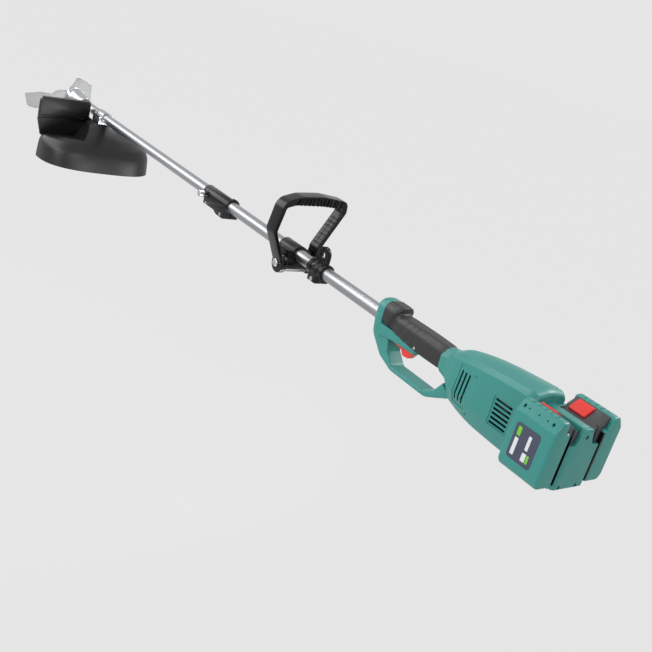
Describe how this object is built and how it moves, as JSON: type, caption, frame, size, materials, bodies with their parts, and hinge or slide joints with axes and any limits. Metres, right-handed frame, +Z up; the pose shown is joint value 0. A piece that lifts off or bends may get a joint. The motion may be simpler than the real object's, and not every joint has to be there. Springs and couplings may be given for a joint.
{
  "type": "brush cutter",
  "caption": "Long-shaft cordless brush cutter with a toothed blade, guard, loop handle, rear trigger grip, motor housing and slide-in battery packs.",
  "frame": {"origin": "on the boom axis, in the middle of the bare tube between the harness clamp and the rear handle", "axes": "+X back along the boom from the blade to the batteries, +Y to the user's right, +Z up"},
  "size_m": [2.0007, 0.3103, 0.2508],
  "materials": {
    "cast_aluminium": "satin",
    "boom_aluminium": "brushed",
    "gear_steel": "ground",
    "blade_steel": "satin",
    "screw_steel": "plated",
    "black_plastic": "satin",
    "bush_plastic": "matte",
    "grip_rubber": "matte",
    "teal_plastic": "satin",
    "red_plastic": "satin",
    "motor_iron": "matte",
    "board_laminate": "satin",
    "contact_brass": "plain",
    "cell_can": "sleeved"
  },
  "bodies": {
    "frame": {"battery_dock": "teal_plastic", "controller_board": "board_laminate", "coupler_body": "black_plastic", "coupler_screws": "screw_steel", "dock_terminals": "contact_brass", "front_tube": "boom_aluminium", "gearcase": "cast_aluminium", "gearcase_bolts": "screw_steel", "gearcase_cap": "cast_aluminium", "guard": "black_plastic", "guard_bolts": "screw_steel", "guard_bracket_lower": "cast_aluminium", "guard_bracket_upper": "cast_aluminium", "handle_clamp_lower": "black_plastic", "handle_clamp_screws": "screw_steel", "handle_clamp_upper": "black_plastic", "handle_pivot_bolt": "screw_steel", "handle_pivot_nut": "screw_steel", "hanger_clamp": "black_plastic", "hanger_screw": "screw_steel", "housing_left": "teal_plastic", "housing_right": "teal_plastic", "housing_screws": "screw_steel", "lock_pin_spring": "screw_steel", "motor_bearings": "gear_steel", "motor_front_bracket": "cast_aluminium", "motor_rear_bracket": "cast_aluminium", "motor_stator": "motor_iron", "pinion_bearing": "gear_steel", "rear_cover": "teal_plastic", "rear_cover_screws": "screw_steel", "rear_grip": "grip_rubber", "rear_tube": "boom_aluminium", "shaft_bushes": "bush_plastic", "spindle_bearings": "gear_steel", "trigger_pin": "gear_steel", "trigger_spring": "screw_steel", "trigger_switch": "black_plastic"},
    "drive_line": {"drive_shaft": "gear_steel", "pinion_gear": "gear_steel", "shaft_coupling": "gear_steel", "motor_rotor": "motor_iron", "motor_fan": "black_plastic"},
    "cutter": {"crown_gear": "gear_steel", "output_spindle": "gear_steel", "blade_flange": "gear_steel", "blade": "blade_steel", "blade_clamp_plate": "gear_steel", "blade_nut": "screw_steel"},
    "trigger": {"trigger": "red_plastic"},
    "loop_handle": {"loop_handle": "black_plastic"},
    "lock_knob": {"coupler_lock_knob": "screw_steel"},
    "left_pack": {"left_pack_case": "teal_plastic", "left_pack_rail": "black_plastic", "left_cells": "cell_can"},
    "right_pack": {"right_pack_case": "teal_plastic", "right_pack_rail": "black_plastic", "right_cells": "cell_can"},
    "left_release": {"left_release_button": "red_plastic"},
    "right_release": {"right_release_button": "red_plastic"}
  },
  "joints": [
    {"name": "drive_spin", "type": "hinge", "parent": "frame", "child": "drive_line", "pos_m": [0.34, 0, 0], "axis": [1, 0, 0], "continuous": true},
    {"name": "cutter_spin", "type": "hinge", "parent": "frame", "child": "cutter", "pos_m": [-1.369, 0, 0], "axis": [-0.6157, 0, -0.788], "continuous": true},
    {"name": "trigger_pull", "type": "hinge", "parent": "frame", "child": "trigger", "pos_m": [0.135, 0, -0.018], "axis": [0, -1, 0], "range_deg": [0, 10], "stiffness_Nm_per_rad": 0.6, "springref_deg": -5.73, "deforming": ["trigger_spring"]},
    {"name": "handle_tilt", "type": "hinge", "parent": "frame", "child": "loop_handle", "pos_m": [-0.187, 0, -0.02], "axis": [0, 1, 0], "range_deg": [-30, 30]},
    {"name": "lock_pull", "type": "slide", "parent": "frame", "child": "lock_knob", "axis": [0, -1, 0], "range_m": [0, 0.005], "stiffness_N_per_m": 400, "springref_m": -0.002, "deforming": ["lock_pin_spring"]},
    {"name": "left_pack_slide", "type": "slide", "parent": "frame", "child": "left_pack", "axis": [0, 0, 1], "range_m": [0, 0.08]},
    {"name": "right_pack_slide", "type": "slide", "parent": "frame", "child": "right_pack", "axis": [0, 0, 1], "range_m": [0, 0.08]},
    {"name": "left_release_press", "type": "slide", "parent": "left_pack", "child": "left_release", "axis": [0, -0.5175, -0.8557], "range_m": [0, 0.0025], "stiffness_N_per_m": 600, "springref_m": -0.002},
    {"name": "right_release_press", "type": "slide", "parent": "right_pack", "child": "right_release", "axis": [0, 0.5175, -0.8557], "range_m": [0, 0.0025], "stiffness_N_per_m": 600, "springref_m": -0.002}
  ],
  "couplings": [
    {"joint": "cutter_spin", "follows": "drive_spin", "ratio": -0.75}
  ]
}
